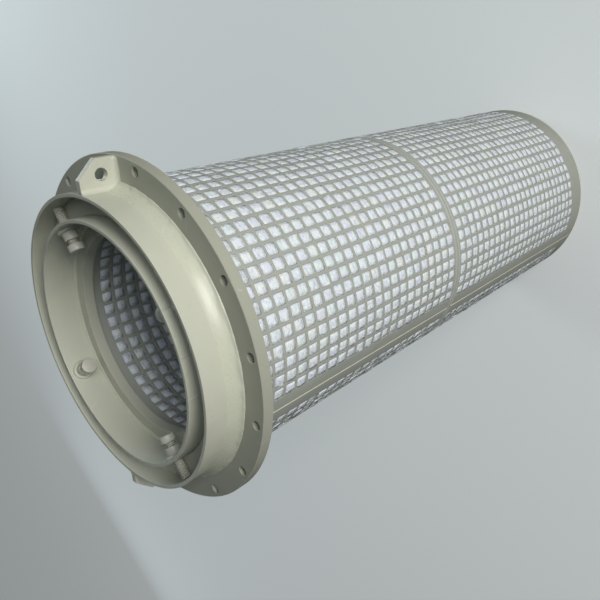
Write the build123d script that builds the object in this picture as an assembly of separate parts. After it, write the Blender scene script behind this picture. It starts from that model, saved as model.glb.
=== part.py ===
from build123d import *
import math
import os

# Fiber bed candle filter, millimetres. The candle stands on its closed end plate with the open
# neck up. +Z runs along its axis and the origin is the centre of the end plate's outer face.

# Square-hole grid that both cages are made from. The pitch around the candle comes first, then
# the pitch along it in each length of the outer cage and in the inner cage.
grid_pitch = 21.2
upper_pitch = 20.7
lower_pitch = 21.5
inner_pitch = 21.5
grid_hole = 16.4
seam_columns = 2
upper_rows = 22
lower_rows = 24
inner_upper_rows = 21
inner_lower_rows = 23
top_margin = 44.1
joint_gap = 39.0
end_margin = 62.8
inner_grid_shift = 6.6

# Neck tube above the flange and the fillet weld around its foot
neck_od = 416.0
neck_wall = 5.0
neck_height = 50.0
neck_weld_leg = 9.5

# Mounting flange, a plate as wide as its land outside the neck, with its bolt circle
flange_land = 42.0
flange_thickness = 16.0
bolt_count = 16
bolt_hole = 13.0
bolt_edge = 12.0
flange_recess = 3.0

# Cages on both sides of the fibre bed and the welded rings that join their two lengths
cage_step = 2.0
cage_wall = 5.0
bed_thickness = 42.5
joint_ring_height = 12.0
joint_ring_proud = 0.8
seam_angle = -145.0
inner_seam_angle = -147.6
seam_bead_width = 4.0
seam_bead_proud = 0.8
seam_bead_end = 12.0

# Two lifting lugs, plates that stand radially between two bolt holes
lug_count = 2
lug_first_angle = -33.75
lug_thickness = 10.0
lug_inset = 1.0
lug_chamfer = 24.0
lug_hole = 16.0
lug_hole_height = 20.5

# Cover ring that closes the bed, and the locking collar inside it
cover_width = 28.0
cover_thickness = 6.0
cover_rise = 22.0
collar_wall = 5.0
collar_weld_leg = 2.5

# Seat ring on the inner cage, which carries the collar and narrows the bore
seat_ring_lip = 9.5
seat_ring_thickness = 16.0
seat_ring_rise = 3.0

# Four radial locking screws through threaded bosses on the collar
screw_count = 4
screw_thread = 14.0
screw_above_cover = 1.0
screw_head = 22.0
screw_head_length = 10.0
screw_head_chamfer = 1.0
screw_bare_length = 6.5
boss_diameter = 20.5
boss_length = 15.0

# End plate and its weld
end_plate_thickness = 10.0
end_weld_leg = 3.0

# Clearance between curved faces that meet, and how far a cutter runs past what it cuts
fit_gap = 0.3
cut_past = 20.0

# Heights worked out from the sizes above
upper_span = (upper_rows - 1) * upper_pitch
lower_span = (lower_rows - 1) * lower_pitch
flange_front_z = end_margin + lower_span + joint_gap + upper_span + top_margin
flange_back_z = flange_front_z - flange_thickness
cage_top_z = flange_back_z + flange_recess
neck_top_z = flange_front_z + neck_height
lower_first_z = end_margin + lower_span
upper_last_z = lower_first_z + joint_gap
upper_first_z = upper_last_z + upper_span
joint_z = lower_first_z + joint_gap / 2
joint_bottom_z = joint_z - joint_ring_height / 2
joint_top_z = joint_z + joint_ring_height / 2
inner_end_z = end_margin + inner_grid_shift
inner_lower_first_z = inner_end_z + (inner_lower_rows - 1) * inner_pitch
inner_upper_first_z = upper_first_z + inner_grid_shift
inner_upper_last_z = inner_upper_first_z - (inner_upper_rows - 1) * inner_pitch
seat_top_z = flange_front_z + seat_ring_rise
seat_bottom_z = seat_top_z - seat_ring_thickness
cover_top_z = flange_front_z + cover_rise
cover_bottom_z = cover_top_z - cover_thickness
screw_z = cover_top_z + screw_above_cover + screw_thread / 2
screw_bore = screw_thread + 2 * fit_gap

# Radii worked out from the sizes above
neck_r = neck_od / 2
neck_bore_r = neck_r - neck_wall
flange_r = neck_r + flange_land
outer_cage_r = neck_r + cage_step
outer_cage_bore_r = outer_cage_r - cage_wall
inner_cage_r = outer_cage_bore_r - bed_thickness
inner_cage_bore_r = inner_cage_r - cage_wall
collar_r = neck_bore_r - cover_width
collar_bore_r = collar_r - collar_wall
seat_ring_r = collar_r
seat_ring_bore_r = inner_cage_bore_r - seat_ring_lip


def disc(radius, bottom_z, top_z):
    """A plain disc between two heights."""
    base = (Align.CENTER, Align.CENTER, Align.MIN)
    return Pos(0, 0, bottom_z) * Cylinder(radius, top_z - bottom_z, align=base)


def ring(outer_r, inner_r, bottom_z, top_z):
    """A plain ring or tube between two heights."""
    return disc(outer_r, bottom_z, top_z) - disc(inner_r, bottom_z, top_z)


def turned(points):
    """A solid of revolution about Z from its outline, given as pairs of radius and height."""
    outline = Polyline([(r, 0, z) for r, z in points], close=True)
    return revolve(make_face(outline), Axis.Z)


def columns(circumference):
    """How many grid pitches go round a wall."""
    return round(circumference / grid_pitch)


def cage(outer_r, bore_r, grid_r, turn, bottom_z, top_z, last_z, first_z):
    """One length of cage: a rolled sheet whose openings run between its end margins."""
    count = columns(2 * math.pi * grid_r)
    step = 360 / count
    slot_bottom = last_z - grid_hole / 2
    slot_height = first_z - last_z + grid_hole
    cutter = Box(
        outer_r - bore_r + 2 * cut_past,
        grid_hole,
        slot_height,
        align=(Align.CENTER, Align.CENTER, Align.MIN),
    )
    middle = (outer_r + bore_r) / 2
    slots = []
    for i in range(count - seam_columns):
        angle = turn + (i + (seam_columns + 1) / 2) * step
        slots.append(Rot(0, 0, angle) * Pos(middle, 0, slot_bottom) * cutter)
    return ring(outer_r, bore_r, bottom_z, top_z) - slots


def seam_weld(bottom_z, top_z):
    """The raised bead that closes a rolled length of the outer cage."""
    inner = outer_cage_r + fit_gap
    outer = outer_cage_r + seam_bead_proud
    band = ring(outer, inner, bottom_z, top_z)
    bar = Pos(outer_cage_r, 0, bottom_z) * Box(
        cut_past,
        seam_bead_width,
        top_z - bottom_z,
        align=(Align.CENTER, Align.CENTER, Align.MIN),
    )
    return Rot(0, 0, seam_angle) * (band & bar)


def mounting_flange():
    """Ring plate with evenly spaced bolt holes and a recess that takes the outer cage."""
    plate = ring(flange_r, neck_bore_r, flange_back_z, flange_front_z)
    plate = plate - disc(outer_cage_r + fit_gap, flange_back_z - cut_past, cage_top_z)
    hole = Cylinder(bolt_hole / 2, 2 * (flange_thickness + cut_past))
    circle_r = flange_r - bolt_edge
    holes = [
        Rot(0, 0, i * 360 / bolt_count) * Pos(circle_r, 0, flange_front_z) * hole
        for i in range(bolt_count)
    ]
    return plate - holes


def neck_fillet_weld():
    """Fillet weld around the foot of the neck."""
    inner = neck_r + fit_gap
    foot = flange_front_z
    toe = (neck_r + neck_weld_leg, foot)
    return turned([(inner, foot), toe, (inner, foot + neck_weld_leg)])


def lifting_lug():
    """Radial lug plate with a chamfered outer corner, notched over the neck weld."""
    inner = neck_r + fit_gap
    outer = flange_r - lug_inset
    notch = neck_weld_leg + 2 * fit_gap
    foot = flange_front_z
    top = neck_top_z - 0.5
    outline = Polyline(
        (inner + notch, 0, foot),
        (outer, 0, foot),
        (outer, 0, top - lug_chamfer),
        (outer - lug_chamfer, 0, top),
        (inner, 0, top),
        (inner, 0, foot + notch),
        close=True,
    )
    plate = extrude(make_face(outline), lug_thickness / 2, dir=(0, 1, 0), both=True)
    hole = Rot(90, 0, 0) * Cylinder(lug_hole / 2, lug_thickness + cut_past)
    return plate - Pos((inner + outer) / 2, 0, foot + lug_hole_height) * hole


def radial_rod(diameter, inner_r, outer_r):
    """A rod along +X between two distances from the axis, at the screws' height."""
    rod = Cylinder(diameter / 2, outer_r - inner_r, align=(Align.CENTER, Align.CENTER, Align.MIN))
    return Pos(inner_r, 0, screw_z) * Rot(0, 90, 0) * rod


def locking_collar():
    """Tube that stands on the seat ring, drilled for the locking screws."""
    tube = ring(collar_r, collar_bore_r, seat_top_z, neck_top_z)
    drill = radial_rod(screw_bore, collar_bore_r - cut_past, collar_r + cut_past)
    drills = [Rot(0, 0, i * 360 / screw_count) * drill for i in range(screw_count)]
    return tube - drills


def screw_boss():
    """Threaded boss, its foot shaped to the inside of the collar."""
    inner = collar_bore_r - boss_length
    outer = collar_r + cut_past
    rod = radial_rod(boss_diameter, inner, outer)
    rod = rod & Pos(0, 0, screw_z) * Cylinder(collar_bore_r - fit_gap, boss_diameter * 2)
    return rod - radial_rod(screw_bore, inner - cut_past, outer)


def locking_screw():
    """Screw with a round head inside the collar and its tip just off the neck's bore."""
    tip = neck_bore_r - fit_gap * 2
    head_face = collar_bore_r - boss_length - screw_bare_length
    shank = radial_rod(screw_thread, head_face, tip)
    shank = chamfer(shank.edges().sort_by(Axis.X)[-1], 1.0)
    head = radial_rod(screw_head, head_face - screw_head_length, head_face)
    head = chamfer(head.edges().sort_by(Axis.X)[0], screw_head_chamfer)
    return shank + head


def collar_weld():
    """Small weld line inside the foot of the collar."""
    outer = collar_bore_r - fit_gap
    inner = outer - collar_weld_leg
    return turned([(outer, seat_top_z), (inner, seat_top_z), (outer, seat_top_z + collar_weld_leg)])


def end_plate_weld():
    """Weld around the foot of the outer cage, inside the end plate's edge."""
    inner = outer_cage_bore_r - fit_gap
    foot = end_plate_thickness
    return turned([(inner, foot), (inner - end_weld_leg, foot), (inner, foot + end_weld_leg)])


def fibre_bed():
    """Packed fibre between the cages, stepped in around the seat ring and the neck."""
    inner = inner_cage_r + fit_gap
    outer = outer_cage_bore_r - fit_gap
    upper_inner = collar_r + fit_gap
    upper_outer = neck_bore_r - fit_gap
    top = cover_bottom_z - fit_gap
    weld_top = end_plate_thickness + end_weld_leg + fit_gap
    weld_inner = outer - end_weld_leg - fit_gap
    return turned(
        [
            (inner, end_plate_thickness),
            (weld_inner, end_plate_thickness),
            (weld_inner, weld_top),
            (outer, weld_top),
            (outer, cage_top_z - fit_gap),
            (upper_outer, cage_top_z - fit_gap),
            (upper_outer, top),
            (upper_inner, top),
            (upper_inner, seat_bottom_z - fit_gap),
            (inner, seat_bottom_z - fit_gap),
        ]
    )


pieces = {}
pieces["mounting_flange"] = mounting_flange()
pieces["outlet_neck"] = ring(neck_r, neck_bore_r, flange_front_z, neck_top_z)
pieces["neck_fillet_weld"] = neck_fillet_weld()
for i in range(lug_count):
    angle = lug_first_angle + i * 360 / lug_count
    pieces[f"lifting_lug_{i + 1}"] = Rot(0, 0, angle) * lifting_lug()

pieces["bed_seat_ring"] = ring(seat_ring_r, seat_ring_bore_r, seat_bottom_z, seat_top_z)
pieces["locking_collar"] = locking_collar()
pieces["collar_weld"] = collar_weld()
cover_r = neck_bore_r - fit_gap
cover_bore_r = collar_r + fit_gap
pieces["bed_cover_ring"] = ring(cover_r, cover_bore_r, cover_bottom_z, cover_top_z)
for i in range(screw_count):
    turn = Rot(0, 0, i * 360 / screw_count)
    pieces[f"screw_boss_{i + 1}"] = turn * screw_boss()
    pieces[f"locking_screw_{i + 1}"] = turn * locking_screw()

cage_foot_z = end_plate_thickness
outer = (outer_cage_r, outer_cage_bore_r, outer_cage_r, seam_angle)
pieces["outer_cage_upper"] = cage(*outer, joint_top_z, cage_top_z, upper_last_z, upper_first_z)
pieces["outer_cage_lower"] = cage(*outer, cage_foot_z, joint_bottom_z, end_margin, lower_first_z)
joint_r = outer_cage_r + joint_ring_proud
pieces["outer_joint_ring"] = ring(joint_r, outer_cage_bore_r, joint_bottom_z, joint_top_z)
pieces["outer_seam_upper"] = seam_weld(joint_top_z, flange_back_z - seam_bead_end)
pieces["outer_seam_lower"] = seam_weld(cage_foot_z, joint_bottom_z)

inner = (inner_cage_r, inner_cage_bore_r, inner_cage_bore_r, inner_seam_angle)
pieces["inner_cage_upper"] = cage(
    *inner, joint_top_z, seat_bottom_z, inner_upper_last_z, inner_upper_first_z
)
pieces["inner_cage_lower"] = cage(
    *inner, cage_foot_z, joint_bottom_z, inner_end_z, inner_lower_first_z
)
pieces["inner_joint_ring"] = ring(inner_cage_r, inner_cage_bore_r, joint_bottom_z, joint_top_z)

pieces["end_plate"] = disc(outer_cage_r, 0, end_plate_thickness)
pieces["end_plate_weld"] = end_plate_weld()
pieces["fibre_bed"] = fibre_bed()

os.makedirs("parts", exist_ok=True)
for name, solid in pieces.items():
    export_step(solid, f"parts/{name}.step")
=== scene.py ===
import functools
import math
import random

import bmesh
import bpy
from bpy.props import FloatProperty, FloatVectorProperty, IntProperty, PointerProperty
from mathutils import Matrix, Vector


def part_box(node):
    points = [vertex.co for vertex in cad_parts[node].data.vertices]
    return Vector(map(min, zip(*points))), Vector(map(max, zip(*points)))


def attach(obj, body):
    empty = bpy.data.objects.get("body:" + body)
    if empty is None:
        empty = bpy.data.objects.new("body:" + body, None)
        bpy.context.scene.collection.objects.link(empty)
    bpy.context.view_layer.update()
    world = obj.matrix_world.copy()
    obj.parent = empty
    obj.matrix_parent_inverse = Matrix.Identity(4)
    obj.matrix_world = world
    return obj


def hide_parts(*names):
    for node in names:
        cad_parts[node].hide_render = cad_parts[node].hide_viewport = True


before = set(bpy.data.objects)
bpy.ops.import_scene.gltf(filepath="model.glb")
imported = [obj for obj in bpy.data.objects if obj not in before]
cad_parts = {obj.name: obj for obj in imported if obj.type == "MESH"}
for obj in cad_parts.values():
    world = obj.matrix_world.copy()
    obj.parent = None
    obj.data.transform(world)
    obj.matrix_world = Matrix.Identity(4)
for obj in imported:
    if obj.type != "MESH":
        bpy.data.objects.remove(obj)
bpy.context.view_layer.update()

bl_info = {
    "name": "Fiber Bed Candle Filter",
    "version": (1, 0, 0),
    "blender": (4, 5, 0),
    "location": "View3D > Sidebar > Candle",
    "description": "Dresses the packed candle filter: cages, fibre, plates, welds, screws and stage",
    "category": "Object",
}

MM = 0.001
TURN = 2 * math.pi
TUBE_WALL = 5 * MM  # of the neck, the collar and the cages
GAP = 0.3 * MM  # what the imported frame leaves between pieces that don't touch


# ---------------------------------------------------------------- sizes and colours


def linear(hex_colour):
    """The linear colour of an sRGB hex value, with full alpha."""
    channels = [int(hex_colour[i : i + 2], 16) / 255 for i in (1, 3, 5)]
    return tuple(c / 12.92 if c <= 0.04045 else ((c + 0.055) / 1.055) ** 2.4 for c in channels) + (1,)


def reach(name):
    """The largest distance from the axis that a CAD node has along X or Y."""
    low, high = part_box(name)
    return max(-low.x, -low.y, high.x, high.y)


def bore(name):
    """The smallest distance from the axis that a CAD ring has."""
    return min(math.hypot(v.co.x, v.co.y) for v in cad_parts[name].data.vertices)


def length_prop(label, text, default):
    return FloatProperty(name=label, description=text, default=default, unit="LENGTH", precision=5)


def angle_prop(label, text, degrees):
    return FloatProperty(name=label, description=text, default=math.radians(degrees), subtype="ANGLE")


def count_prop(label, text, default):
    return IntProperty(name=label, description=text, default=default)


def colour_prop(label, text, hex_colour):
    return FloatVectorProperty(
        name=label,
        description=text,
        default=linear(hex_colour)[:3],
        subtype="COLOR",
        size=3,
        min=0,
        max=1,
    )


class CandleSizes(bpy.types.PropertyGroup):
    """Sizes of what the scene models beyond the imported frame"""

    upper_pitch: length_prop("Upper pitch", "Distance between hole rows of the outer upper cage", 20.7 * MM)
    lower_pitch: length_prop("Lower pitch", "Distance between hole rows of the outer lower cage", 21.5 * MM)
    inner_pitch: length_prop("Inner pitch", "Distance between hole rows of the inner cages", 21.5 * MM)
    hole: length_prop("Hole width", "Width of a square hole", 16.4 * MM)
    hole_corner: length_prop("Hole corner", "Length of a hole's rounded corner", 1.3 * MM)
    hole_edge: length_prop("Hole edge", "Softened edge round each hole", 0.3 * MM)
    wall: length_prop("Cage wall", "Thickness of the perforated sheets", 5 * MM)
    outer_count: count_prop("Outer columns", "Grid columns per turn of the outer cage", 62)
    inner_count: count_prop("Inner columns", "Grid columns per turn of the inner cage", 47)
    lower_rows: count_prop("Lower rows", "Hole rows of the lower cage", 24)
    upper_rows: count_prop("Upper rows", "Hole rows of the upper cage", 22)
    inner_lower_rows: count_prop("Inner lower rows", "Hole rows of the inner lower cage", 23)
    inner_upper_rows: count_prop("Inner upper rows", "Hole rows of the inner upper cage", 21)
    first_row: length_prop("First row", "Height of the lowest hole row", 62.8 * MM)
    joint_gap: length_prop("Joint gap", "Between the rows on both sides of the joint", 39 * MM)
    inner_shift: length_prop("Inner shift", "Inner rows start this much higher", 6.6 * MM)
    seam_angle: angle_prop("Seam angle", "Where the outer sheets' long seams are", -145)
    inner_seam_angle: angle_prop("Inner seam angle", "Where the inner sheets' long seams are", -147.6)
    pillow: length_prop("Pillow rise", "How far fibre swells through a hole", 5.4 * MM)
    edge: length_prop("Plate edge", "Softened edge of the plates and tubes", 0.8 * MM)
    bolt_circle: length_prop("Bolt circle", "Radius of the bolt hole circle", 238 * MM)
    bolt_hole: length_prop("Bolt hole", "Radius of a bolt hole", 6.5 * MM)
    bolt_count: count_prop("Bolt holes", "Number of bolt holes", 16)
    lug_angle: angle_prop("Lug angle", "Place of the first lifting lug", -33.75)
    screw_height: length_prop("Screw height", "Height of the screws' axes", 1105.1 * MM)
    thread_pitch: length_prop("Thread pitch", "Distance between two thread ridges", 3 * MM)


class CandleColours(bpy.types.PropertyGroup):
    """Colours of the materials"""

    sheet: colour_prop("Plate", "Pebble grey polypropylene plate", "#C2C4B5")
    # painted shade: the sawn plate is the plate darkened, for the faces of the flange and the end plate that are
    # turned from the light
    sawn: colour_prop("Sawn plate", "Thick polypropylene plate, sawn and handled", "#AAAC9E")
    tube: colour_prop("Tube", "Pebble grey polypropylene tube", "#C6C8B9")
    cage: colour_prop("Cage", "Perforated polypropylene sheet", "#ABAFA7")
    weld: colour_prop("Weld", "Glossy extrusion weld", "#C8CBB9")
    # painted highlight: the joint's lines are lighter than the cage sheet they are pressed from
    joint: colour_prop("Joint", "Butt weld between the cage lengths", "#BEC2BC")
    screw: colour_prop("Screw", "Turned polypropylene", "#C6C6BA")
    fibre: colour_prop("Fibre", "Packed glass fibre", "#F1F9FF")
    floor: colour_prop("Floor", "Pale floor", "#D3D8D8")


def sizes():
    return bpy.context.scene.candle_sizes


def colours():
    return bpy.context.scene.candle_colours


# ---------------------------------------------------------------- modelling helpers


def object_mode():
    bpy.ops.object.mode_set(mode="OBJECT")


def edit_mode():
    bpy.ops.object.mode_set(mode="EDIT")


def select_everything():
    bpy.ops.mesh.select_all(action="SELECT")


def clear_selection():
    """Leaves edit mode and selects nothing."""
    if bpy.context.object and bpy.context.object.mode != "OBJECT":
        object_mode()
    bpy.ops.object.select_all(action="DESELECT")


def take(piece):
    """Makes a piece the only selected one, in object mode."""
    clear_selection()
    bpy.context.view_layer.objects.active = piece
    piece.select_set(True)


def put_in_scene(name, data):
    """A new object at the origin."""
    made = bpy.data.objects.new(name, data)
    bpy.context.scene.collection.objects.link(made)
    return made


def start(name):
    """An empty piece at the origin, open in edit mode."""
    clear_selection()
    piece = put_in_scene(name, bpy.data.meshes.new(name))
    take(piece)
    edit_mode()
    return piece


def choose(piece, kind, test):
    """In edit mode, selects only the verts, edges or faces that pass the test."""
    bpy.ops.mesh.select_mode(type={"verts": "VERT", "edges": "EDGE", "faces": "FACE"}[kind])
    bpy.ops.mesh.select_all(action="DESELECT")
    mesh = bmesh.from_edit_mesh(piece.data)
    for element in getattr(mesh, kind):
        if test(element):
            element.select_set(True)
    mesh.select_flush_mode()
    bmesh.update_edit_mesh(piece.data)


def level_edges(axis, value, gap=2e-5):
    """A test for edges that lie at one value of an axis."""
    return lambda edge: all(abs(v.co[axis] - value) < gap for v in edge.verts)


def push(x=0, y=0, z=0):
    """Extrudes the selected edges by an offset."""
    bpy.ops.mesh.extrude_edges_move(TRANSFORM_OT_translate={"value": (x, y, z)})


def grow(factor, centre=(0, 0, 0)):
    """Scales the selection level with the floor."""
    bpy.ops.transform.resize(value=(factor, factor, 1), center_override=centre)


def close_up(threshold=2e-5):
    """Merges doubles and turns all faces outwards."""
    select_everything()
    bpy.ops.mesh.remove_doubles(threshold=threshold)
    bpy.ops.mesh.normals_make_consistent(inside=False)


def modify(piece, kind, **settings):
    """Adds a modifier and applies it."""
    take(piece)
    modifier = piece.modifiers.new(kind.title(), kind)
    for key, value in settings.items():
        setattr(modifier, key, value)
    bpy.ops.object.modifier_apply(modifier=modifier.name)


def settle(piece, location=(0, 0, 0), rotation=(0, 0, 0)):
    """Moves a piece and writes its place into its mesh."""
    take(piece)
    piece.location = location
    piece.rotation_euler = rotation
    bpy.ops.object.transform_apply(location=True, rotation=True, scale=True)


def finished(piece, finish, slot, *nodes, smooth=35, weighted=False):
    """Shades a piece, gives it its finish and hangs it on the frame."""
    take(piece)
    bpy.ops.object.shade_smooth_by_angle(angle=math.radians(smooth))
    if weighted:
        modify(piece, "WEIGHTED_NORMAL", keep_sharp=True, weight=80)
    piece.data.materials.clear()
    piece.data.materials.append(finish_of(finish))
    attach(piece, "root")
    if nodes:
        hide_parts(*nodes)
    return piece


def add_section(inner_r, outer_r, bottom, top):
    """In edit mode, adds the section of a ring in the XZ plane."""
    centre = ((inner_r + outer_r) / 2, 0, (bottom + top) / 2)
    bpy.ops.mesh.primitive_plane_add(size=1, location=centre, rotation=(math.pi / 2, 0, 0))
    bpy.ops.transform.resize(value=(outer_r - inner_r, 1, top - bottom), center_override=centre)


def spin_section(steps):
    """Spins the selected section once round the Z axis into a closed ring."""
    bpy.ops.mesh.delete(type="ONLY_FACE")
    select_everything()
    bpy.ops.mesh.spin(steps=steps, angle=TURN, center=(0, 0, 0), axis=(0, 0, 1))
    close_up()


def turned_ring(name, inner_r, outer_r, bottom, top, edge, steps=192, segments=2):
    """A ring with softened edges, spun from its section."""
    piece = start(name)
    add_section(inner_r, outer_r, bottom, top)
    bpy.ops.mesh.bevel(offset=edge, segments=segments, affect="VERTICES")
    spin_section(steps)
    object_mode()
    return piece


def roughen(piece, grain, depth, test=None, seed=0.0):
    """Moves a bead's skin along its normals by a cloud pattern."""
    take(piece)
    group = piece.vertex_groups.new(name="skin")
    chosen = [v.index for v in piece.data.vertices if test is None or test(v.co)]
    group.add(chosen, 1, "REPLACE")
    clouds = bpy.data.textures.new(piece.name + "_clouds", "CLOUDS")
    clouds.noise_scale = grain
    clouds.noise_depth = 1
    modify(
        piece,
        "DISPLACE",
        texture=clouds,
        texture_coords="LOCAL",
        vertex_group="skin",
        strength=depth,
        mid_level=0.5,
    )


def fillet_ring(
    name, wall_r, foot_z, leg, side, steps, grain, depth, tall=1.0, profile=0.3, sunk=0.0, toe=0.03, calm=0.06
):
    """A fillet bead in the corner of a tube and a plate. side is 1 outside the tube, -1 inside.

    tall is how far it runs up the tube, as a multiple of the leg on the plate. sunk is how far it reaches into
    both, toe the share of the leg that stands up steeply at its rim, calm the smooth share next to the tube.
    """
    wall_r, foot_z, leg = wall_r - side * sunk, foot_z - sunk, leg + sunk
    piece = start(name)
    inner, outer = sorted((wall_r, wall_r + side * leg))
    add_section(inner, outer, foot_z, foot_z + leg)
    far = wall_r + side * leg
    choose(piece, "verts", lambda v: abs(v.co.x - far) < 1e-5 and v.co.z > foot_z + leg / 2)
    bpy.ops.mesh.bevel(offset=leg * (1 - toe), segments=10, profile=profile, affect="VERTICES")
    select_everything()
    bpy.ops.transform.resize(value=(1, 1, tall), center_override=(0, 0, foot_z))
    bpy.ops.mesh.select_mode(type="FACE")
    select_everything()
    spin_section(steps)
    object_mode()

    def on_skin(co):
        return abs(math.hypot(co.x, co.y) - wall_r) > leg * calm and co.z > foot_z + leg * 0.06

    roughen(piece, grain, depth, on_skin)
    return piece


def straight_bead(name, length, width, height, cuts, grain, depth):
    """A laid weld bead along Z at the origin, flattened along X."""
    piece = start(name)
    bpy.ops.mesh.primitive_cylinder_add(vertices=12, radius=width / 2, depth=length, end_fill_type="NGON")
    choose(piece, "edges", lambda e: abs(e.verts[0].co.z - e.verts[1].co.z) > length / 2)
    bpy.ops.mesh.subdivide(number_cuts=cuts)
    select_everything()
    bpy.ops.transform.resize(value=(height / width * 2, 1, 1), center_override=(0, 0, 0))
    close_up()
    object_mode()
    roughen(piece, grain, depth)
    return piece


def laid_fillet(name, length, leg, grain=12 * MM, depth=0.5 * MM):
    """A short hollow fillet along Y, centred on the origin, in the corner between the planes X = 0 and Z = 0."""
    piece = start(name)
    add_section(0, leg, 0, leg)
    choose(piece, "verts", lambda v: v.co.x > leg / 2 and v.co.z > leg / 2)
    bpy.ops.mesh.bevel(offset=leg * 0.98, segments=10, profile=0.1, affect="VERTICES")
    choose(piece, "faces", lambda f: True)
    bpy.ops.transform.translate(value=(0, -length / 2, 0))
    bpy.ops.mesh.extrude_region_move(TRANSFORM_OT_translate={"value": (0, length, 0)})
    choose(piece, "edges", lambda e: abs(e.verts[0].co.y - e.verts[1].co.y) > length / 2)
    bpy.ops.mesh.subdivide(number_cuts=max(8, round(length / (1.5 * MM))))
    # both ends run out into the corner
    for end in (-1, 1):
        for share, factor in ((0.5, 0.5), (0.47, 0.85)):
            level = length * share * 0.97
            choose(piece, "verts", lambda v: v.co.y * end > level)
            bpy.ops.transform.resize(value=(factor, 1, factor), center_override=(0, 0, 0))
    close_up()
    object_mode()
    roughen(piece, grain, depth, lambda co: co.x > leg * 0.06 and co.z > leg * 0.06)
    return piece


# ---------------------------------------------------------------- materials


def add_node(tree, kind, inputs=None, output=None, **settings):
    """Adds one shader node with its settings, sets or links its inputs, and gives one of its outputs."""
    made = tree.nodes.new("ShaderNode" + kind)
    for key, value in settings.items():
        setattr(made, key, value)
    for key, value in (inputs or {}).items():
        if isinstance(value, bpy.types.NodeSocket):
            tree.links.new(value, made.inputs[key])
        else:
            made.inputs[key].default_value = value
    return made.outputs[output] if output else None


def shade(colour, factor):
    """A colour from the panel, lighter or darker, with alpha."""
    return tuple(min(1.0, c * factor) for c in colour) + (1,)


def empty_tree(owner):
    """Empties the node tree of a material or world, and gives the function that adds nodes to it."""
    owner.use_nodes = True
    owner.node_tree.nodes.clear()
    return functools.partial(add_node, owner.node_tree)


def new_material(name):
    """A material, and the function that adds nodes to it."""
    material = bpy.data.materials.new(name)
    return material, empty_tree(material)


def polypropylene(name, colour, roughness, wave_mm, grain_mm, grain_depth, cloud):
    """Opaque pigmented polypropylene, IOR 1.49: soft broad gloss, faint clouds in the colour, fine scuffs."""
    material, add = new_material(name)
    place = add("TexCoord", output="Object")
    # slow clouds of colour from uneven pigment and handling
    clouds = add("TexNoise", {"Vector": place, "Scale": 1 / 0.11, "Detail": 4.0, "Roughness": 0.6}, "Fac")
    tone = add(
        "Mix",
        {"Factor": clouds, "A": shade(colour, 1 - cloud), "B": shade(colour, 1 + cloud)},
        "Result",
        data_type="RGBA",
    )
    # dust and small stains, 2 to 6 mm
    specks = add("TexNoise", {"Vector": place, "Scale": 1 / 0.006, "Detail": 3.0, "Roughness": 0.7}, "Fac")
    speck_mask = add("MapRange", {"Value": specks, "From Min": 0.6, "From Max": 0.8, "To Max": 0.35}, "Result")
    stained = add("Mix", {"Factor": speck_mask, "A": tone, "B": shade(colour, 0.72)}, "Result", data_type="RGBA")
    # a few long light scratches, under 1 mm wide, broken up along their run
    tracks = add("TexVoronoi", {"Vector": place, "Scale": 1 / 0.085}, "Distance", feature="DISTANCE_TO_EDGE")
    hair = add("MapRange", {"Value": tracks, "From Max": 0.006, "To Min": 0.5, "To Max": 0.0}, "Result")
    patches = add("TexNoise", {"Vector": place, "Scale": 1 / 0.03, "Detail": 1.0}, "Fac")
    patch_mask = add("MapRange", {"Value": patches, "From Min": 0.62, "From Max": 0.66}, "Result")
    scratch = add("Math", {0: hair, 1: patch_mask}, "Value", operation="MULTIPLY")
    scratched = add("Mix", {"Factor": scratch, "A": stained, "B": linear("#E6E6DE")}, "Result", data_type="RGBA")
    # handling scuffs: short stretched marks that change the gloss
    stretched = add("Mapping", {"Vector": place, "Rotation": (0.3, 0.5, 0.9), "Scale": (1, 9, 9)}, "Vector")
    scuffs = add("TexNoise", {"Vector": stretched, "Scale": 45.0}, "Fac")
    gloss = add(
        "MapRange",
        {
            "Value": scuffs,
            "From Min": 0.35,
            "From Max": 0.7,
            "To Min": roughness - 0.04,
            "To Max": roughness + 0.08,
        },
        "Result",
    )
    # hand-level waviness of the surface, then its fine grain
    waves = add("TexNoise", {"Vector": place, "Scale": 1 / (wave_mm * MM), "Detail": 1.0}, "Fac")
    wave_bump = add("Bump", {"Height": waves, "Distance": wave_mm * MM * 0.06, "Strength": 0.5}, "Normal")
    grain = add("TexNoise", {"Vector": place, "Scale": 1 / (grain_mm * MM)}, "Fac")
    bump = add(
        "Bump",
        {"Height": grain, "Distance": grain_depth * MM, "Strength": 0.4, "Normal": wave_bump},
        "Normal",
    )
    surface = add(
        "BsdfPrincipled",
        {"Base Color": scratched, "Roughness": gloss, "IOR": 1.49, "Normal": bump},
        "BSDF",
    )
    add("OutputMaterial", {"Surface": surface})
    return material


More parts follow.
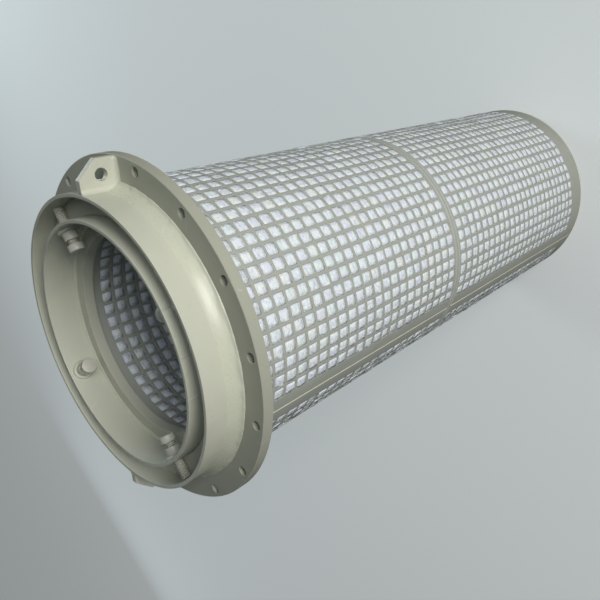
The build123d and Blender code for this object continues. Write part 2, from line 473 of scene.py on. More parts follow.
def packed_glass_fibre(colour):
    """Packed white glass fibre: a bright felt, each tuft with its own faint tint, creased where it is pressed, with
    painted shade in the hollows of its folds and along its creases.
    """
    material, add = new_material("packed_glass_fibre")
    place = add("TexCoord", output="Object")
    # tufts of about 14 mm, each blue-white, lilac, mint or straw by a few percent
    wander = add("TexNoise", {"Vector": place, "Scale": 1 / 0.012}, "Color")
    moved = add("Mix", {"Factor": 0.006, "A": place, "B": wander}, "Result", data_type="VECTOR")
    tufts = add("TexVoronoi", {"Vector": moved, "Scale": 1 / 0.014}, "Color")
    pick = add("SeparateColor", {"Color": tufts}, "Red")
    tint = add("ValToRGB", {"Fac": pick}, "Color")
    ramp = tint.node.color_ramp
    ramp.interpolation = "CONSTANT"
    ramp.elements[0].color = linear("#E6EAF9")
    ramp.elements[1].position = 0.3
    ramp.elements[1].color = linear("#EEF7FF")
    for start_at, tint_hex in ((0.7, "#E8F6F5"), (0.85, "#F4F7F3")):
        stop = ramp.elements.new(start_at)
        stop.color = linear(tint_hex)
    tinted = add("Mix", {"Factor": 0.6, "A": shade(colour, 1), "B": tint}, "Result", data_type="RGBA")
    # folds run slantwise through the felt, 3 to 5 mm apart: they bump the surface, and painted shade lies as long
    # soft bluish-grey streaks in their hollows
    slanted = add("Mapping", {"Vector": place, "Rotation": (0.5, 0.7, 0.4), "Scale": (1.0, 3.2, 3.2)}, "Vector")
    density = add(
        "TexNoise",
        {"Vector": slanted, "Scale": 1 / 0.014, "Detail": 5.0, "Roughness": 0.7, "Distortion": 0.6},
        "Fac",
    )
    painted_fold_shade_mask = add(
        "MapRange",
        {"Value": density, "From Min": 0.33, "From Max": 0.48, "To Min": 0.62, "To Max": 0.0},
        "Result",
    )
    # painted shade: the fold hollows darkened towards bluish grey
    painted_fold_shade_colour = add("Mix", {"Factor": painted_fold_shade_mask, "A": tinted, "B": linear("#A6AEC0")}, "Result", data_type="RGBA")
    # creases between the bundles, 5 to 9 mm apart: they bump the surface, and painted shade lies as fine dark lines
    # along them
    bundles = add("TexVoronoi", {"Vector": moved, "Scale": 1 / 0.0075}, "Distance", feature="DISTANCE_TO_EDGE")
    # painted shade: a dark line along each crease
    lines = add("MapRange", {"Value": bundles, "From Max": 0.08, "To Min": 0.2, "To Max": 0.0}, "Result")
    painted_crease_shade_colour = add("Mix", {"Factor": lines, "A": painted_fold_shade_colour, "B": linear("#8E95A0")}, "Result", data_type="RGBA")
    crease_bump = add("Bump", {"Height": bundles, "Distance": 0.0016, "Strength": 0.5}, "Normal")
    fold_bump = add(
        "Bump",
        {"Height": density, "Distance": 0.003, "Strength": 0.6, "Normal": crease_bump},
        "Normal",
    )
    strands = add("TexNoise", {"Vector": place, "Scale": 1 / 0.0012, "Distortion": 1.5}, "Fac")
    bump = add("Bump", {"Height": strands, "Distance": 0.0003, "Strength": 0.5, "Normal": fold_bump}, "Normal")
    gloss = add(
        "MapRange",
        {"Value": density, "From Min": 0.35, "From Max": 0.65, "To Min": 0.62, "To Max": 0.36},
        "Result",
    )
    surface = add(
        "BsdfPrincipled",
        {
            "Base Color": painted_crease_shade_colour,
            "Roughness": gloss,
            "IOR": 1.5,
            "Sheen Weight": 0.05,
            "Sheen Roughness": 0.4,
            "Normal": bump,
        },
        "BSDF",
    )
    add("OutputMaterial", {"Surface": surface})
    return material


def pale_floor(colour):
    """Plain matt floor. It keeps the shadow, and the camera sees it at its own pale colour."""
    material, add = new_material("pale_matt_floor")
    seen = add("LightPath", output="Is Camera Ray")
    strength = add("Math", {0: seen, 1: 0.36}, "Value", operation="MULTIPLY")
    # little light comes back from the floor to the candle, whose real one lies over its own dark shadow
    cast = add("Mix", {"Factor": seen, "A": shade(colour, 0.15), "B": shade(colour, 1)}, "Result", data_type="RGBA")
    matt = add(
        "BsdfPrincipled",
        {
            "Base Color": cast,
            "Roughness": 0.9,
            "Specular IOR Level": 0.1,
            "Emission Color": shade(colour, 1),
            "Emission Strength": strength,
        },
        "BSDF",
    )
    add("OutputMaterial", {"Surface": matt})
    return material


# the finishes of polypropylene: colour in the panel, roughness, width of its waves and its grain in mm, depth of
# the grain in mm, and strength of the clouds in the colour
FINISHES = {
    # extruded plate, as it leaves the rolls: satin, slight waviness
    "extruded_pp_plate": ("sheet", 0.42, 60, 1.2, 0.05, 0.05),
    # thick plate, turned on its faces and edges and handled bare: duller, fine tool marks, and a colour darker than
    # the plate's by painted shade
    "sawn_pp_plate": ("sawn", 0.5, 60, 0.9, 0.08, 0.05),
    # plate rolled into a tube and butt welded: a little glossier, shorter waves
    "rolled_pp_tube": ("tube", 0.38, 45, 1.5, 0.06, 0.05),
    # sheet punched and rolled: duller, short waves between the holes, more uneven in colour
    "perforated_pp_sheet": ("cage", 0.46, 30, 1.0, 0.06, 0.07),
    # bead frozen from the melt: glossy and smooth
    "extrusion_weld_pp": ("weld", 0.3, 40, 5.0, 0.02, 0.05),
    # thin line pressed out of the joint: same stock as the cage, a little glossier, and lighter than the cage by a
    # painted highlight
    "butt_weld_pp": ("joint", 0.34, 12, 1.0, 0.04, 0.05),
    # rod turned on a lathe: even, half gloss
    "turned_pp": ("screw", 0.36, 20, 4.0, 0.02, 0.05),
}


def finish_of(name):
    """The material of one finish, made the first time it is asked for."""
    if name in bpy.data.materials:
        return bpy.data.materials[name]
    if name == "packed_glass_fibre":
        return packed_glass_fibre(colours().fibre)
    colour, *numbers = FINISHES[name]
    return polypropylene(name, getattr(colours(), colour), *numbers)


# ---------------------------------------------------------------- cages


def hole_rows(side, length):
    """The heights of a cage length's hole rows, from the lowest up."""
    s = sizes()
    upper = s.first_row + (s.lower_rows - 1) * s.lower_pitch + s.joint_gap
    if side == "outer":
        if length == "lower":
            return [s.first_row + i * s.lower_pitch for i in range(s.lower_rows)]
        return [upper + i * s.upper_pitch for i in range(s.upper_rows)]
    if length == "lower":
        return [s.first_row + s.inner_shift + i * s.inner_pitch for i in range(s.inner_lower_rows)]
    top = upper + (s.upper_rows - 1) * s.upper_pitch + s.inner_shift
    return [top - i * s.inner_pitch for i in reversed(range(s.inner_upper_rows))]


def punched_tube(name, front_r, depth, count, turn, levels, bottom, top):
    """Perforated sheet: one cell is modelled flat, arrayed, rolled round the axis and welded along its seam.

    front_r is the radius of the face that is seen, and depth is positive where the wall lies inside it.
    """
    s = sizes()
    rows, first_z, pitch = len(levels), levels[0], levels[1] - levels[0]
    width = TURN * front_r / count
    columns = count - 2
    soft = math.copysign(s.hole_edge, depth)
    x0 = -(columns - 1) / 2 * width
    centre = (x0, 0, first_z)
    mouth = s.hole + 2 * s.hole_edge

    def press(step, factor):
        bpy.ops.mesh.extrude_region_move(TRANSFORM_OT_translate={"value": (0, step, 0)})
        bpy.ops.transform.resize(value=(factor, 1, factor), center_override=centre)

    piece = start(name)
    bpy.ops.mesh.primitive_plane_add(size=mouth, location=centre, rotation=(math.pi / 2, 0, 0))
    bpy.ops.mesh.bevel(offset=s.hole_corner, segments=2, affect="VERTICES")
    press(soft, s.hole / mouth)
    press(depth - soft, 1.01)
    choose(piece, "faces", lambda f: abs(f.normal.y) > 0.9)
    bpy.ops.mesh.delete(type="ONLY_FACE")
    for level in (0.0, depth):
        spot = (x0, level, first_z)
        bpy.ops.mesh.primitive_plane_add(size=1, location=spot, rotation=(math.pi / 2, 0, 0))
        bpy.ops.transform.resize(value=(width, 1, pitch), center_override=spot)
        bpy.ops.mesh.delete(type="ONLY_FACE")
        choose(piece, "edges", level_edges(1, level))
        bpy.ops.mesh.fill(use_beauty=True)
    object_mode()
    for offset, number in (((width, 0, 0), columns), ((0, 0, pitch), rows)):
        modify(
            piece,
            "ARRAY",
            count=number,
            use_relative_offset=False,
            use_constant_offset=True,
            constant_offset_displace=offset,
            use_merge_vertices=True,
            merge_threshold=1e-5,
        )
    edit_mode()
    grid_bottom = first_z - pitch / 2
    grid_top = grid_bottom + rows * pitch
    side = columns * width / 2
    choose(piece, "edges", level_edges(2, grid_top))
    push(z=top - grid_top)
    choose(piece, "edges", level_edges(2, grid_bottom))
    push(z=bottom - grid_bottom)
    for sign in (-1, 1):
        choose(piece, "edges", level_edges(0, sign * side))
        for _ in range(4):
            push(x=sign * width / 4)
    for level in (bottom, top):
        choose(piece, "edges", level_edges(2, level))
        bpy.ops.mesh.bridge_edge_loops()
    object_mode()
    modify(piece, "SIMPLE_DEFORM", deform_method="BEND", deform_axis="Z", angle=TURN)
    settle(piece, location=(0, -front_r, 0))
    settle(piece, rotation=(0, 0, turn - math.pi / 2))
    edit_mode()
    close_up(5e-5)
    object_mode()
    return piece


class CANDLE_OT_cages(bpy.types.Operator):
    """Models the four lengths of perforated cage"""

    bl_idname = "candle.cages"
    bl_label = "Perforated cages"

    def execute(self, context):
        s = sizes()
        for side, count, turn, depth in (
            ("outer", s.outer_count, s.seam_angle, s.wall),
            ("inner", s.inner_count, s.inner_seam_angle, -s.wall),
        ):
            for length in ("lower", "upper"):
                node = f"{side}_cage_{length}"
                low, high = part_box(node)
                front = reach(node) if side == "outer" else reach(node) - s.wall
                front = round(front, 4)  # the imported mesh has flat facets, so its reach falls a little short
                levels = hole_rows(side, length)
                piece = punched_tube(f"{side}_grid_{length}", front, depth, count, turn, levels, low.z, high.z)
                finished(piece, "perforated_pp_sheet", "pp_cage", node, smooth=50, weighted=True)
        return {"FINISHED"}


# ---------------------------------------------------------------- fibre


def pillow_lines(centres, offsets):
    """All grid lines across one direction: 0 stands for under the sheet, 1 for the hole's wall, 2 for inside."""
    lines = []
    for i, centre in enumerate(centres):
        for offset, level in offsets:
            lines.append((centre + offset, level, i, 1 if offset > 0 else -1))
    return lines


class CANDLE_OT_fibre(bpy.types.Operator):
    """Models the packed fibre bed, which swells through every hole of both cages"""

    bl_idname = "candle.fibre"
    bl_label = "Packed fibre"

    def execute(self, context):
        s = sizes()
        rng = random.Random(41)
        low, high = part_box("fibre_bed")
        cage_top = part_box("outer_cage_upper")[1].z
        seat_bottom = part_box("bed_seat_ring")[0].z
        verts, faces, rims = [], [], []
        foot, top = low.z + 0.2 * MM, high.z - 0.1 * MM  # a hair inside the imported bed
        clear = 0.4 * MM  # what the felt keeps from sheets and plates
        spread = 0.4 * MM  # how much the swelling differs from hole to hole

        def skin(side, front_r, base_r, count, turn, offsets, shoulder, rise):
            """One skin of the bed. rise is signed: outwards on the outer skin.

            shoulder is the height where the sheet ends, then the height and radius of the felt above it.
            """
            rows = hole_rows(side, "lower") + hole_rows(side, "upper")
            step = TURN / count
            angles = [turn + (i + 1.5) * step for i in range(count - 2)]
            across = pillow_lines(angles, [(o / front_r, k) for o, k in offsets])
            up = pillow_lines(rows, offsets)
            heights = {(i, j): rng.gauss(0, spread) for i in range(count - 2) for j in range(len(rows))}
            top_z, neck_z, neck_r = shoulder
            levels = [(foot, 0, None, 0)] + up + [(top_z, 0, None, 0)]
            first = len(verts)
            sign = 1 if rise > 0 else -1
            for z, lv, j, sz in levels:
                for a, lu, i, sa in across:
                    r, aa, zz = base_r, a, z
                    if lu and lv:
                        swell = rise + sign * heights[(i, j)]
                        if lu == 2 and lv == 2:
                            # inside the hole the felt is highest, and each tuft lies a little aside
                            r = base_r + swell + sign * rng.gauss(0, spread * 0.6)
                            aa += rng.uniform(-1.2, 1.2) * MM / front_r
                            zz += rng.uniform(-1.2, 1.2) * MM
                        elif lu == 1 and lv == 1:
                            # a corner of the hole, drawn in where the hole is rounded
                            r = base_r + swell * 0.94 + sign * rng.gauss(0, spread * 0.5)
                            aa -= sa * 0.3 * MM / front_r
                            zz -= sz * 0.3 * MM
                        else:
                            r = base_r + swell * 0.97 + sign * rng.gauss(0, spread * 0.4)
                    verts.append((r * math.cos(aa), r * math.sin(aa), zz))
            for r, z in ((neck_r, top_z), (neck_r, neck_z)):
                for a, *_ in across:
                    verts.append((r * math.cos(a), r * math.sin(a), z))
            wide = len(across)
            tall = len(levels) + 2
            for j in range(tall - 1):
                for i in range(wide):
                    k = (i + 1) % wide
                    a, b = first + j * wide + i, first + j * wide + k
                    c, d = b + wide, a + wide
                    faces.append((a, b, c, d) if rise > 0 else (a, d, c, b))
            rims.append((first, wide, tall))

        base_out = reach("outer_cage_upper") - s.wall - clear
        base_in = reach("inner_cage_upper") + clear
        # the lines across a hole, from its middle: under the sheet, up its wall and over the tuft
        half, crown = s.hole / 2, 3 * MM
        under, wall = half - 0.04 * MM, half - 0.2 * MM
        outer_lines = [(-under, 0), (-wall, 1), (-crown, 2), (crown, 2), (wall, 1), (under, 0)]
        under, wall = half - 0.1 * MM, half - 0.3 * MM
        inner_lines = [(-under, 0), (-wall, 1), (0.0, 2), (wall, 1), (under, 0)]
        neck_bore = reach("outlet_neck") - TUBE_WALL
        seat_r = reach("bed_seat_ring")
        skin(
            "outer",
            reach("outer_cage_upper"),
            base_out,
            s.outer_count,
            s.seam_angle,
            outer_lines,
            (cage_top - clear, top, neck_bore - clear),
            s.pillow,
        )
        skin(
            "inner",
            reach("inner_cage_upper") - s.wall,
            base_in,
            s.inner_count,
            s.inner_seam_angle,
            inner_lines,
            (seat_bottom - clear, top, seat_r + clear),
            -s.pillow,
        )
        mesh = bpy.data.meshes.new("packed_fibre")
        mesh.from_pydata(verts, [], faces)
        piece = put_in_scene("packed_fibre", mesh)
        # close the bed at its foot and under the cover ring
        work = bmesh.new()
        work.from_mesh(mesh)
        work.verts.ensure_lookup_table()
        for at_top in (False, True):
            loop = []
            for first, wide, tall in rims:
                base = first + (wide * (tall - 1) if at_top else 0)
                for i in range(wide):
                    loop.append(work.edges.get((work.verts[base + i], work.verts[base + (i + 1) % wide])))
            bmesh.ops.triangle_fill(work, edges=loop, use_beauty=True)
        bmesh.ops.recalc_face_normals(work, faces=work.faces)
        work.to_mesh(mesh)
        work.free()
        finished(piece, "packed_glass_fibre", "fibre", "fibre_bed", smooth=89)
        return {"FINISHED"}


# ---------------------------------------------------------------- plates and tubes


class CANDLE_OT_tubes(bpy.types.Operator):
    """Models the neck, the collar and the ring plates with softened edges"""

    bl_idname = "candle.tubes"
    bl_label = "Tubes and ring plates"

    def execute(self, context):
        s = sizes()
        plan = (
            ("outlet_neck", TUBE_WALL, "rolled_pp_tube", "pp_tube", s.edge),
            ("locking_collar", TUBE_WALL, "rolled_pp_tube", "pp_tube", s.edge),
            ("bed_cover_ring", None, "extruded_pp_plate", "pp_plate", s.edge),
            ("bed_seat_ring", None, "extruded_pp_plate", "pp_plate", s.edge * 1.5),
        )
        for node, wall, finish, slot, edge in plan:
            low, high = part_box(node)
            outer = reach(node)
            inner = outer - wall if wall else bore(node)
            piece = turned_ring("soft_" + node, inner, outer, low.z, high.z, edge, steps=384)
            finished(piece, finish, slot, node, weighted=True)
        return {"FINISHED"}


class CANDLE_OT_flange(bpy.types.Operator):
    """Models the drilled mounting flange"""

    bl_idname = "candle.flange"
    bl_label = "Mounting flange"

    def execute(self, context):
        s = sizes()
        low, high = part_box("mounting_flange")
        top, bottom = high.z, low.z
        outer_r = reach("mounting_flange")
        bore_r = reach("outlet_neck") - TUBE_WALL
        recess_r = reach("outer_cage_upper") + GAP
        recess_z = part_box("outer_cage_upper")[1].z
        soft = s.edge
        broken = soft * 0.6  # of the bolt holes' edges
        piece = start("drilled_flange")
        # one bolt hole with both edges broken, then its copies round the circle
        spot = (s.bolt_circle, 0, 0)
        mouth = s.bolt_hole + broken
        bpy.ops.mesh.primitive_circle_add(vertices=28, radius=mouth, location=(s.bolt_circle, 0, top))
        push(z=-broken)
        grow(s.bolt_hole / mouth, spot)
        push(z=bottom - top + 2 * broken)
        push(z=-broken)
        grow(mouth / s.bolt_hole, spot)
        select_everything()
        bpy.ops.mesh.spin(
            steps=s.bolt_count - 1,
            dupli=True,
            angle=TURN * (s.bolt_count - 1) / s.bolt_count,
            center=(0, 0, 0),
            axis=(0, 0, 1),
        )
        # outer edge
        bpy.ops.mesh.primitive_circle_add(vertices=256, radius=outer_r - soft, location=(0, 0, top))
        push(z=-soft)
        grow(outer_r / (outer_r - soft))
        push(z=bottom - top + 2 * soft)
        push(z=-soft)
        grow((outer_r - soft) / outer_r)
        # bore, with the recess that takes the outer cage
        bpy.ops.mesh.primitive_circle_add(vertices=256, radius=bore_r, location=(0, 0, top))
        push(z=recess_z - top)
        push()
        grow(recess_r / bore_r)
        push(z=bottom - recess_z)
        for level in (top, bottom):
            choose(piece, "edges", level_edges(2, level))
            bpy.ops.mesh.fill(use_beauty=True)
        close_up()
        object_mode()
        finished(piece, "sawn_pp_plate", "pp_plate", "mounting_flange", weighted=True)
        return {"FINISHED"}


class CANDLE_OT_end_plate(bpy.types.Operator):
    """Models the closed end plate"""

    bl_idname = "candle.end_plate"
    bl_label = "End plate"

    def execute(self, context):
        low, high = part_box("end_plate")
        radius = reach("end_plate")
        piece = start("soft_end_plate")
        bpy.ops.mesh.primitive_cylinder_add(
            vertices=256, radius=radius, depth=high.z - low.z, location=(0, 0, (high.z + low.z) / 2)
        )
        choose(piece, "edges", lambda e: abs(e.verts[0].co.z - e.verts[1].co.z) < 1e-6)
        bpy.ops.mesh.bevel(offset=1.0 * MM, segments=2, affect="EDGES")
        close_up()
        object_mode()
        finished(piece, "sawn_pp_plate", "pp_plate", "end_plate", weighted=True)
        return {"FINISHED"}


class CANDLE_OT_lugs(bpy.types.Operator):
    """Models the two lifting lugs and the beads along their feet"""

    bl_idname = "candle.lugs"
    bl_label = "Lifting lugs"

    def execute(self, context):
        s = sizes()
        neck_r = reach("outlet_neck")
        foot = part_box("mounting_flange")[1].z
        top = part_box("lifting_lug_1")[1].z
        inner, outer = neck_r + GAP, reach("mounting_flange") - 1 * MM
        thick, notch, corner = 10 * MM, 10.1 * MM, 24 * MM
        hole_r, hole_up = 8 * MM, 20.5 * MM
        foot_run, neck_run, sunk = outer - neck_r - 3 * MM, top - foot - 1 * MM, 0.2 * MM  # of the beads
        for i in range(2):
            angle = s.lug_angle + i * math.pi
            node = f"lifting_lug_{i + 1}"
            piece = start("soft_" + node)
            centre = ((inner + outer) / 2, thick / 2, (foot + top) / 2)
            bpy.ops.mesh.primitive_plane_add(size=1, location=centre, rotation=(math.pi / 2, 0, 0))
            bpy.ops.transform.resize(value=(outer - inner, 1, top - foot), center_override=centre)
            choose(piece, "verts", lambda v: v.co.x > centre[0] and v.co.z > centre[2])
            bpy.ops.mesh.bevel(offset=corner, segments=1, affect="VERTICES")
            choose(piece, "verts", lambda v: v.co.x < centre[0] and v.co.z < centre[2])
            bpy.ops.mesh.bevel(offset=notch, segments=1, affect="VERTICES")
            choose(piece, "faces", lambda f: True)
            bpy.ops.mesh.delete(type="ONLY_FACE")
            bpy.ops.mesh.primitive_circle_add(
                vertices=40,
                radius=hole_r,
                location=(centre[0], thick / 2, foot + hole_up),
                rotation=(math.pi / 2, 0, 0),
            )
            select_everything()
            bpy.ops.mesh.fill(use_beauty=True)
            select_everything()
            bpy.ops.mesh.extrude_region_move(TRANSFORM_OT_translate={"value": (0, -thick, 0)})
            close_up()
            object_mode()
            modify(
                piece,
                "BEVEL",
                width=1.0 * MM,
                segments=2,
                limit_method="ANGLE",
                angle_limit=math.radians(40),
                use_clamp_overlap=False,
            )
            settle(piece, rotation=(0, 0, angle))
            finished(piece, "extruded_pp_plate", "pp_plate", node, weighted=True)
            # a fillet along each side of the foot, and one up each side against the neck, as dull as the plate
            for side, label in ((1, "a"), (-1, "b")):
                quarter = side * math.pi / 2
                flank = side * (thick / 2 - sunk)
                foot_spot = (outer - 1 * MM - foot_run / 2, flank, foot - 0.1 * MM)
                neck_spot = (neck_r - sunk, flank, top - neck_run / 2)
                for place, run, leg, turn, spot in (
                    ("foot", foot_run, 6 * MM, (0, 0, quarter), foot_spot),
                    ("neck", neck_run, 6.5 * MM, (-quarter, 0, 0), neck_spot),
                ):
                    bead = laid_fillet(f"lug_{i + 1}_{place}_bead_{label}", run, leg)
                    settle(bead, rotation=turn)
                    settle(bead, location=spot)
                    settle(bead, rotation=(0, 0, angle))
                    finished(bead, "extruded_pp_plate", "pp_weld", smooth=80)
        return {"FINISHED"}


# ---------------------------------------------------------------- welds


class CANDLE_OT_welds(bpy.types.Operator):
    """Models the fillet beads, the joint rings and the long seam beads"""

    bl_idname = "candle.welds"
    bl_label = "Welds"

    def execute(self, context):
        s = sizes()
        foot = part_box("mounting_flange")[1].z
        neck_r = reach("outlet_neck") - 0.1 * MM
        bead = fillet_ring(
            "neck_bead",
            neck_r,
            foot,
            leg=9.6 * MM,
            side=1,
            steps=384,
            grain=10 * MM,
            depth=2.4 * MM,
            tall=2.1,
            profile=0.12,
            sunk=1.2 * MM,
            toe=0.11,
            calm=0.7,
        )
        finished(bead, "extrusion_weld_pp", "pp_weld", "neck_fillet_weld", smooth=80)
        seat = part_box("bed_seat_ring")[1].z
        collar_r = reach("locking_collar")
        bead = fillet_ring("collar_bead", collar_r - TUBE_WALL, seat, 2.9 * MM, -1, 480, 5 * MM, 0.5 * MM)
        finished(bead, "extrusion_weld_pp", "pp_weld", "collar_weld", smooth=80)
        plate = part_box("end_plate")[1].z
        cage_bore = reach("outer_cage_lower") - TUBE_WALL
        bead = fillet_ring("end_bead", cage_bore, plate, 3 * MM, -1, 192, 5 * MM, 0.4 * MM)
        finished(bead, "extrusion_weld_pp", "pp_weld", "end_plate_weld", smooth=80)
        # the joint between the two lengths: a band a little under the sheet's face
        for node, wall_in, under in (("outer_joint_ring", 5.8 * MM, 1.0 * MM), ("inner_joint_ring", TUBE_WALL, 0)):
            low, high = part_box(node)
            outer = reach(node)
            piece = turned_ring("band_" + node, outer - wall_in, outer - under, low.z, high.z, 0.3 * MM)
            finished(piece, "perforated_pp_sheet", "pp_weld", node, smooth=60)
        # two thin glossy ridges pressed out of the outer joint, lighter than the band by a painted highlight
        low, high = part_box("outer_joint_ring")
        outer = reach("outer_joint_ring")
        piece = start("outer_joint_ridges")
        for z in (low.z + 1.4 * MM, high.z - 1.4 * MM):
            bpy.ops.mesh.primitive_torus_add(
                major_segments=420,
                minor_segments=8,
                major_radius=outer - 1.1 * MM,
                minor_radius=0.95 * MM,
                location=(0, 0, z),
            )
        close_up()
        object_mode()
        roughen(piece, 8 * MM, 0.2 * MM)
        finished(piece, "butt_weld_pp", "pp_weld", smooth=80)
        for node in ("outer_seam_upper", "outer_seam_lower"):
            low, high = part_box(node)
            length = high.z - low.z
            piece = straight_bead("bead_" + node, length, 2.6 * MM, 0.8 * MM, 150, 9 * MM, 0.15 * MM)
            settle(piece, location=(reach("outer_cage_upper"), 0, (low.z + high.z) / 2))
            settle(piece, rotation=(0, 0, s.seam_angle))
            finished(piece, "extrusion_weld_pp", "pp_weld", node, smooth=80)
        # the collar is rolled from sheet too: its butt seams stand as fine lines on its outer side. Each line has
        # its place in degrees, its width and its roughness in mm
        low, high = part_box("locking_collar")
        run = high.z - low.z - 1.5 * MM
        for number, degrees, wide, rough in ((1, -109.4, 1.5, 0.2), (2, -127.0, 1.3, 0.2), (3, -89.5, 2.4, 0.9)):
            seam = straight_bead(f"collar_seam_{number}", run, wide * MM, 0.8 * MM, 24, 5 * MM, rough * MM)
            settle(seam, location=(collar_r, 0, (low.z + high.z) / 2))
            settle(seam, rotation=(0, 0, math.radians(degrees)))
            finished(seam, "butt_weld_pp", "pp_weld", smooth=80)
        return {"FINISHED"}


# ---------------------------------------------------------------- screws


class CANDLE_OT_screws(bpy.types.Operator):
    """Models the four locking screws with their bosses and the weld rings round the bosses"""

    bl_idname = "candle.screws"
    bl_label = "Locking screws"

    def execute(self, context):
        s = sizes()
        pitch = s.thread_pitch
        # distances from the axis of the candle, then radii about the axis of the screw
        head_in, head_out, tip = 138.5 * MM, 148.5 * MM, 202.4 * MM
        boss_in, boss_out, bead_at = 155 * MM, 169.6 * MM, 169.3 * MM
        root_r, flank_r, crest_r, head_r = 5.1 * MM, 6.5 * MM, 7.0 * MM, 11 * MM
        boss_bore, boss_r, bead_r = 7.3 * MM, 10.25 * MM, 12.0 * MM
        for i in range(4):
            # all three are modelled along Z, and then laid level and turned to their quarter
            place = ((0, 0, s.screw_height), (0, math.pi / 2, i * math.pi / 2))
            piece = start(f"threaded_screw_{i + 1}")
            # one V of the thread, carried round and along by the Screw modifier
            add_section(root_r, crest_r, head_out - 2 * pitch, head_out - pitch)
            middle = (0, 0, head_out - 1.5 * pitch)
            choose(piece, "verts", lambda v: v.co.x > flank_r)
            bpy.ops.transform.resize(value=(1, 1, 0.2), center_override=middle)
            choose(piece, "faces", lambda f: True)
            bpy.ops.mesh.delete(type="ONLY_FACE")
            choose(piece, "edges", lambda e: all(v.co.x < flank_r for v in e.verts))
            bpy.ops.mesh.delete(type="EDGE")
            object_mode()
            modify(
                piece,
                "SCREW",
                axis="Z",
                angle=TURN,
                screw_offset=pitch,
                iterations=round((tip - head_out) / pitch) + 3,
                steps=28,
                render_steps=28,
                use_merge_vertices=True,
                merge_threshold=1e-5,
            )
            edit_mode()
            for level, direction in ((head_out - 0.5 * MM, -1), (tip, 1)):
                select_everything()
                bpy.ops.mesh.bisect(
                    plane_co=(0, 0, level), plane_no=(0, 0, direction), use_fill=True, clear_outer=True
                )
            close_up()
            bpy.ops.mesh.select_all(action="DESELECT")
            bpy.ops.mesh.primitive_cylinder_add(
                vertices=40, radius=head_r, depth=head_out - head_in, location=(0, 0, (head_in + head_out) / 2)
            )
            rims = (head_in, head_out)
            choose(
                piece,
                "edges",
                lambda e: abs(e.verts[0].co.z - e.verts[1].co.z) < 1e-6
                and min(abs(e.verts[0].co.z - z) for z in rims) < 1e-6
                and math.hypot(e.verts[0].co.x, e.verts[0].co.y) > head_r - 1 * MM,
            )
            bpy.ops.mesh.bevel(offset=0.9 * MM, segments=2, affect="EDGES")
            object_mode()
            settle(piece, *place)
            finished(piece, "turned_pp", "pp_screw", f"locking_screw_{i + 1}")
            boss = turned_ring(f"soft_screw_boss_{i + 1}", boss_bore, boss_r, boss_in, boss_out, 0.6 * MM, steps=48)
            settle(boss, *place)
            finished(boss, "turned_pp", "pp_turned", f"screw_boss_{i + 1}")
            ring = start(f"boss_bead_{i + 1}")
            bpy.ops.mesh.primitive_torus_add(
                major_segments=72,
                minor_segments=10,
                major_radius=bead_r,
                minor_radius=2.9 * MM,
                location=(0, 0, bead_at),
            )
            close_up()
            object_mode()
            settle(ring, *place)
            roughen(ring, 5 * MM, 0.7 * MM)
            finished(ring, "extrusion_weld_pp", "pp_weld", smooth=80)
        return {"FINISHED"}


# ---------------------------------------------------------------- stage


def lamp(name, spot, aim, size, power, colour):
    """A square soft lamp that looks at a point."""
    light = bpy.data.lights.new(name, "AREA")
    light.shape = "SQUARE"
    light.size = size
    light.energy = power
    light.color = linear(colour)[:3]
    stand = put_in_scene(name, light)
    stand.location = spot
    stand.rotation_euler = (Vector(aim) - Vector(spot)).to_track_quat("-Z", "Y").to_euler()


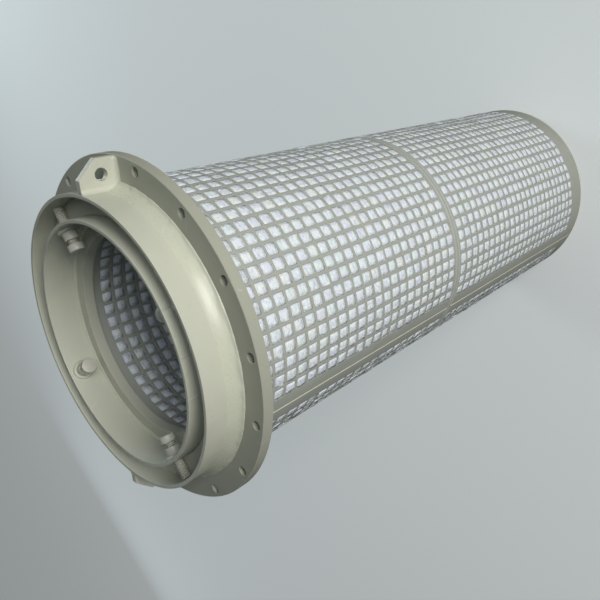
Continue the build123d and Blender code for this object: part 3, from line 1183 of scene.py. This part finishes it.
class CANDLE_OT_stage(bpy.types.Operator):
    """Sets the floor, the lamps, the surroundings and the camera"""

    bl_idname = "candle.stage"
    bl_label = "Stage"

    def execute(self, context):
        clear_selection()
        bpy.ops.mesh.primitive_plane_add(size=60, location=(0, 0, 0))
        floor = bpy.context.object
        floor.name = "floor"
        floor.data.materials.append(pale_floor(colours().floor))
        # a big far softbox in front, a little over the mouth of the neck, a low cool one at the side of the
        # lifting lug, a weak one behind, and a weak high one that reaches down into the mouth
        for name, degrees, away, height, aim, size, power, colour in (
            ("key", -90, 6.0, 2.0, 0.95, 3.2, 330, "#FFFDF8"),
            ("side", 38, 4.0, 1.75, 1.0, 1.0, 40, "#DCEBF2"),
            ("back", 105, 4.0, 1.3, 0.9, 2.0, 8, "#EAF3FA"),
            ("mouth", -82, 2.9, 3.1, 1.05, 1.2, 14.5, "#F4F8FF"),
        ):
            way = math.radians(degrees)
            spot = (away * math.cos(way), away * math.sin(way), height)
            lamp(name, spot, (0, 0, aim), size, power, colour)
        world = bpy.data.worlds.new("studio")
        bpy.context.scene.world = world
        add = empty_tree(world)
        seen = add("LightPath", output="Is Camera Ray")
        strength = add("MapRange", {"Value": seen, "To Min": 0.08, "To Max": 0.8}, "Result")
        sky = add("Background", {"Color": linear("#D2E0E5"), "Strength": strength}, "Background")
        add("OutputWorld", {"Surface": sky})
        # the photograph's viewing angle, fitted to the rims, the bolt holes and the grid
        camera = put_in_scene("camera", bpy.data.cameras.new("camera"))
        camera.location = (-0.0773, -0.7993, 1.4553)
        camera.rotation_euler = [math.radians(a) for a in (-23.65, 39.764, -124.098)]
        camera.data.lens = 35.881
        camera.data.sensor_width = 36
        camera.data.shift_x = -0.0932
        camera.data.shift_y = -0.0053
        camera.data.clip_start = 0.02
        camera.data.clip_end = 200
        bpy.context.scene.camera = camera
        bpy.context.scene.view_settings.view_transform = "Standard"
        return {"FINISHED"}


# ---------------------------------------------------------------- panel and run

OPERATORS = (
    CANDLE_OT_stage,
    CANDLE_OT_cages,
    CANDLE_OT_fibre,
    CANDLE_OT_tubes,
    CANDLE_OT_flange,
    CANDLE_OT_end_plate,
    CANDLE_OT_lugs,
    CANDLE_OT_welds,
    CANDLE_OT_screws,
)


class CANDLE_PT_panel(bpy.types.Panel):
    """Lists the steps that dress the candle filter"""

    bl_idname = "CANDLE_PT_panel"
    bl_label = "Candle filter"
    bl_space_type = "VIEW_3D"
    bl_region_type = "UI"
    bl_category = "Candle"

    def draw(self, context):
        column = self.layout.column()
        for operator in OPERATORS:
            column.operator(operator.bl_idname)
        for group in (context.scene.candle_sizes, context.scene.candle_colours):
            for key in group.__annotations__:
                column.prop(group, key)


CLASSES = (CandleSizes, CandleColours) + OPERATORS + (CANDLE_PT_panel,)


def register():
    for cls in CLASSES:
        bpy.utils.register_class(cls)
    bpy.types.Scene.candle_sizes = PointerProperty(type=CandleSizes)
    bpy.types.Scene.candle_colours = PointerProperty(type=CandleColours)


def unregister():
    del bpy.types.Scene.candle_colours
    del bpy.types.Scene.candle_sizes
    for cls in reversed(CLASSES):
        bpy.utils.unregister_class(cls)


def main():
    register()
    for operator in OPERATORS:
        group, name = operator.bl_idname.split(".")
        getattr(getattr(bpy.ops, group), name)()
    clear_selection()


if __name__ == "__main__":
    main()
